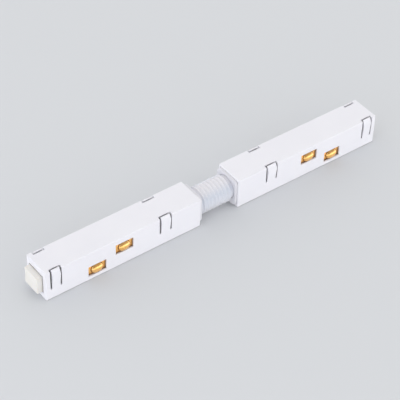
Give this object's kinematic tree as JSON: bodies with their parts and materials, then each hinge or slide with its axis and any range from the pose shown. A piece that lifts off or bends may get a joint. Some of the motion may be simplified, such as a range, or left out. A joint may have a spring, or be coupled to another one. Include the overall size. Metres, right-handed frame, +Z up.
{
  "type": "flexible track light power feed",
  "caption": "Two square snap-in plug bars with brass side contacts and sprung catches, joined by a short corrugated conduit that bends, for a recessed low-voltage lighting track.",
  "frame": {"origin": "midway between the two bars, on the plane of their flat undersides", "axes": "+X along the bars towards the right bar's nose, +Y from the front contacts to the back ones, +Z up from the covers to the plain top faces that go into the track"},
  "size_m": [0.254, 0.022, 0.0211],
  "materials": {
    "housing": "fine satin moulded polycarbonate, cool white",
    "cover": "fine satin moulded polycarbonate, cool white",
    "cap": "fine satin moulded polycarbonate, cool white",
    "carrier": "moulded natural polyamide, warm white",
    "contact": "pressed and burnished sheet",
    "bus": "stamped strip",
    "conduit": "soft moulded elastomer, bluish white",
    "positive_insulation": "flexible wire insulation, red",
    "negative_insulation": "flexible wire insulation, black"
  },
  "bodies": {
    "left_plug": {"left_housing": "housing", "left_bottom_cover": "cover", "left_contact_carrier": "carrier", "left_conduit_cap": "cap", "left_upper_bus": "bus", "left_lower_bus": "bus"},
    "left_front_upper": {"left_front_upper_contact": "contact"},
    "left_front_lower": {"left_front_lower_contact": "contact"},
    "left_back_upper": {"left_back_upper_contact": "contact"},
    "left_back_lower": {"left_back_lower_contact": "contact"},
    "conduit_link": {"conduit": "conduit"},
    "core_link": {"positive_core": "positive_insulation", "negative_core": "negative_insulation"},
    "right_plug": {"right_housing": "housing", "right_bottom_cover": "cover", "right_contact_carrier": "carrier", "right_conduit_cap": "cap", "right_upper_bus": "bus", "right_lower_bus": "bus"},
    "right_front_upper": {"right_front_upper_contact": "contact"},
    "right_front_lower": {"right_front_lower_contact": "contact"},
    "right_back_upper": {"right_back_upper_contact": "contact"},
    "right_back_lower": {"right_back_lower_contact": "contact"}
  },
  "joints": [
    {"name": "left_bend", "type": "hinge", "parent": "left_plug", "child": "conduit_link", "pos_m": [-0.0082, 0, 0.0108], "axis": [0, 0, 1], "range_deg": [-30, 30], "stiffness_Nm_per_rad": 0.12, "deforming": ["conduit"]},
    {"name": "middle_bend", "type": "hinge", "parent": "conduit_link", "child": "core_link", "pos_m": [0, 0, 0.0108], "axis": [0, 1, 0], "range_deg": [-30, 30], "stiffness_Nm_per_rad": 0.12, "deforming": ["positive_core", "negative_core"]},
    {"name": "right_bend", "type": "hinge", "parent": "core_link", "child": "right_plug", "pos_m": [0.0082, 0, 0.0108], "axis": [0, 0, 1], "range_deg": [-30, 30], "stiffness_Nm_per_rad": 0.12},
    {"name": "left_front_upper_press", "type": "slide", "parent": "left_plug", "child": "left_front_upper", "axis": [0, 1, 0], "range_m": [0, 0.0008], "stiffness_N_per_m": 500},
    {"name": "left_front_lower_press", "type": "slide", "parent": "left_plug", "child": "left_front_lower", "axis": [0, 1, 0], "range_m": [0, 0.0008], "stiffness_N_per_m": 500},
    {"name": "left_back_upper_press", "type": "slide", "parent": "left_plug", "child": "left_back_upper", "axis": [0, -1, 0], "range_m": [0, 0.0008], "stiffness_N_per_m": 500},
    {"name": "left_back_lower_press", "type": "slide", "parent": "left_plug", "child": "left_back_lower", "axis": [0, -1, 0], "range_m": [0, 0.0008], "stiffness_N_per_m": 500},
    {"name": "right_front_upper_press", "type": "slide", "parent": "right_plug", "child": "right_front_upper", "axis": [0, 1, 0], "range_m": [0, 0.0008], "stiffness_N_per_m": 500},
    {"name": "right_front_lower_press", "type": "slide", "parent": "right_plug", "child": "right_front_lower", "axis": [0, 1, 0], "range_m": [0, 0.0008], "stiffness_N_per_m": 500},
    {"name": "right_back_upper_press", "type": "slide", "parent": "right_plug", "child": "right_back_upper", "axis": [0, -1, 0], "range_m": [0, 0.0008], "stiffness_N_per_m": 500},
    {"name": "right_back_lower_press", "type": "slide", "parent": "right_plug", "child": "right_back_lower", "axis": [0, -1, 0], "range_m": [0, 0.0008], "stiffness_N_per_m": 500}
  ]
}
